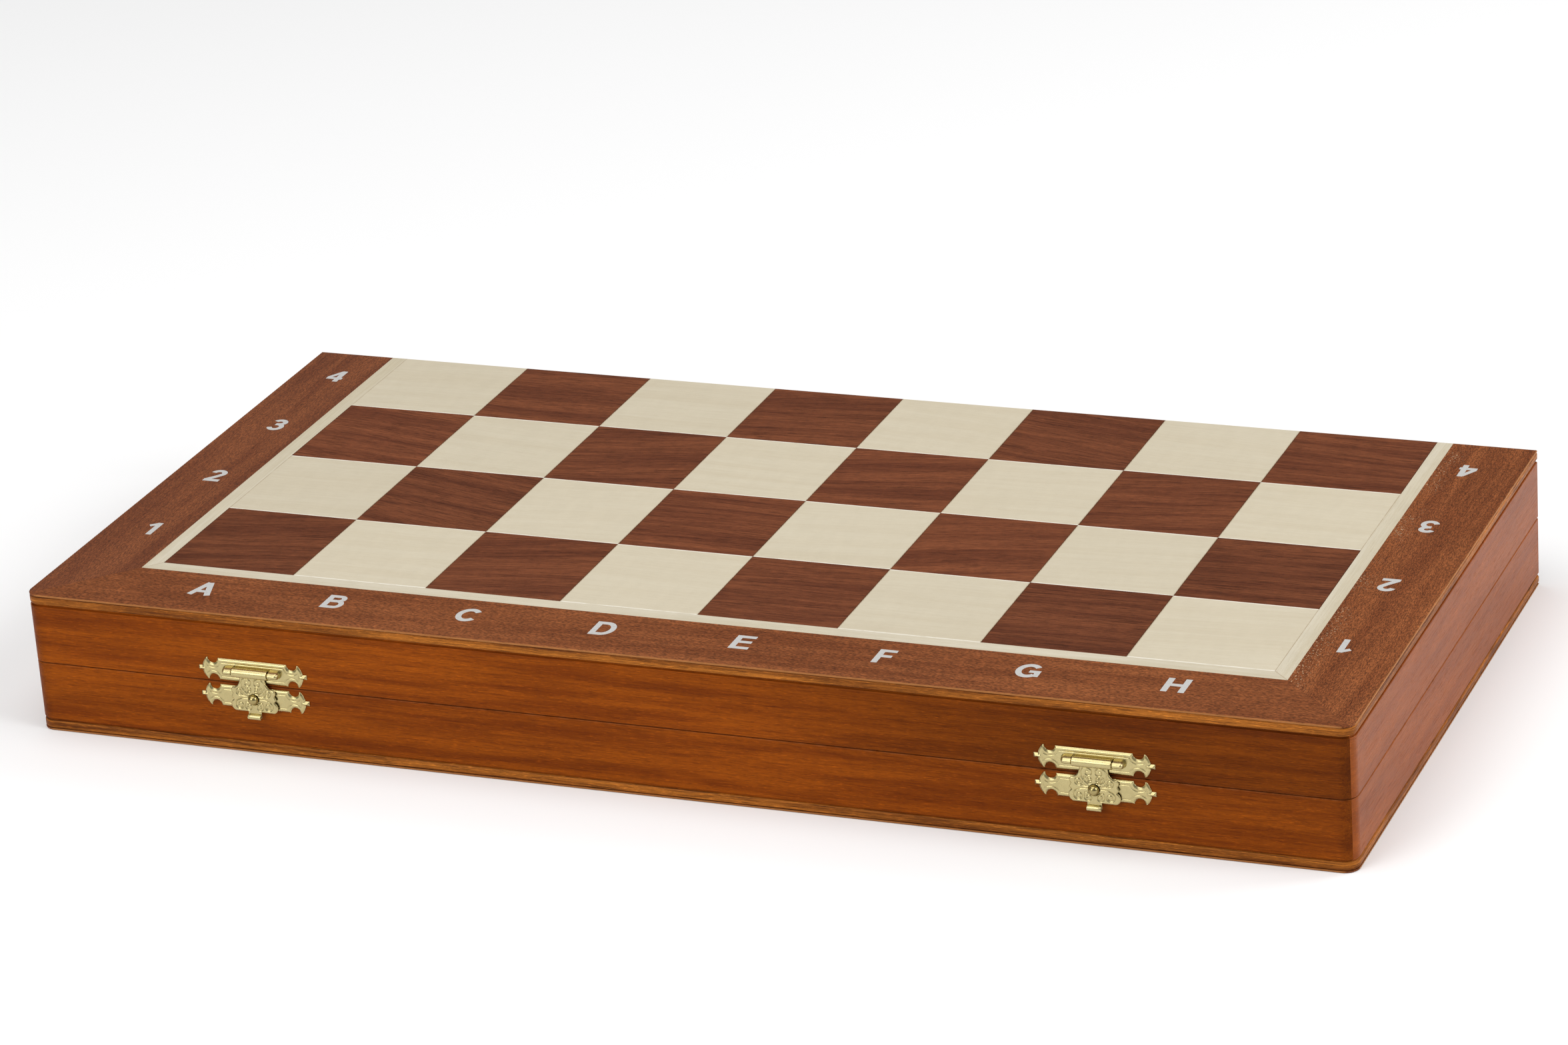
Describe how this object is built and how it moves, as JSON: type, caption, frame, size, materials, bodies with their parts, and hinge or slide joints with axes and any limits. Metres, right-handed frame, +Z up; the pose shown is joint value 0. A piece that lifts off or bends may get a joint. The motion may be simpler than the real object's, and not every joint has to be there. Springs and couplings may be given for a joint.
{
  "type": "folding chess set with board",
  "caption": "Folding wooden chess box with half boards on its outer faces, brass latches and hinges, and a padded tray of turned chess pieces inside.",
  "frame": {"origin": "centre of the closed box's underside", "axes": "+X along the files from A to H, +Y from the latches to the hinges, +Z up through the lid"},
  "size_m": [0.4712, 0.2401, 0.051],
  "materials": {
    "mahogany_veneer": "dark reddish mahogany veneer, satin lacquer",
    "maple_stringing": "pale stringing veneer, satin lacquer",
    "walnut_squares": "dark red-brown veneer squares, satin lacquer",
    "maple_squares": "pale maple veneer squares, satin lacquer",
    "stained_rails": "orange-brown stained hardwood, satin lacquer",
    "stained_panel": "golden-brown stained bead, satin lacquer",
    "lining_felt": "dark green felt",
    "tray_velvet": "dark green velvet-covered foam",
    "pad_felt": "green felt discs",
    "boxwood": "turned pale wood, polished",
    "ebonised_wood": "turned dark-stained wood, polished",
    "latch_brass": "pale satin brass stampings",
    "hinge_brass": "rolled satin brass",
    "hinge_steel": "brass-plated steel pins and screws",
    "coordinate_ink": "silver-grey printed ink"
  },
  "bodies": {
    "base": {"base_back_rail": "stained_rails", "base_border_veneer": "mahogany_veneer", "base_dark_squares": "walnut_squares", "base_front_rail": "stained_rails", "base_hinge_screws": "hinge_steel", "base_left_rail": "stained_rails", "base_light_squares": "maple_squares", "base_panel": "stained_panel", "base_right_rail": "stained_rails", "base_stringing": "maple_stringing", "black_bishop_1": "ebonised_wood", "black_bishop_2": "ebonised_wood", "black_felt_pads": "pad_felt", "black_king": "ebonised_wood", "black_knight_1": "ebonised_wood", "black_knight_2": "ebonised_wood", "black_pawns": "ebonised_wood", "black_queen": "ebonised_wood", "black_rook_1": "ebonised_wood", "black_rook_2": "ebonised_wood", "hinge_left_base_leaf": "hinge_brass", "hinge_left_pin": "hinge_steel", "hinge_right_base_leaf": "hinge_brass", "hinge_right_pin": "hinge_steel", "latch_left_base_plate": "latch_brass", "latch_left_stud": "latch_brass", "latch_right_base_plate": "latch_brass", "latch_right_stud": "latch_brass", "piece_tray": "tray_velvet", "white_bishop_1": "boxwood", "white_bishop_2": "boxwood", "white_felt_pads": "pad_felt", "white_king": "boxwood", "white_knight_1": "boxwood", "white_knight_2": "boxwood", "white_pawns": "boxwood", "white_queen": "boxwood", "white_rook_1": "boxwood", "white_rook_2": "boxwood"},
    "lid": {"hinge_left_lid_leaf": "hinge_brass", "hinge_right_lid_leaf": "hinge_brass", "latch_left_hasp_pin": "latch_brass", "latch_left_lid_plate": "latch_brass", "latch_right_hasp_pin": "latch_brass", "latch_right_lid_plate": "latch_brass", "lid_back_rail": "stained_rails", "lid_border_veneer": "mahogany_veneer", "lid_dark_squares": "walnut_squares", "lid_front_rail": "stained_rails", "lid_hinge_screws": "hinge_steel", "lid_left_rail": "stained_rails", "lid_light_squares": "maple_squares", "lid_lining": "lining_felt", "lid_panel": "stained_panel", "lid_right_rail": "stained_rails", "lid_stringing": "maple_stringing"},
    "left_hasp": {"latch_left_hasp": "latch_brass"},
    "right_hasp": {"latch_right_hasp": "latch_brass"}
  },
  "joints": [
    {"name": "lid_hinge", "type": "hinge", "parent": "base", "child": "lid", "pos_m": [0, 0.11705, 0.0255], "axis": [-1, 0, 0], "range_deg": [0, 180]},
    {"name": "left_hasp_hinge", "type": "hinge", "parent": "lid", "child": "left_hasp", "pos_m": [-0.15, -0.1191, 0.0306], "axis": [-1, 0, 0], "range_deg": [0, 170]},
    {"name": "right_hasp_hinge", "type": "hinge", "parent": "lid", "child": "right_hasp", "pos_m": [0.15, -0.1191, 0.0306], "axis": [-1, 0, 0], "range_deg": [0, 170]}
  ]
}
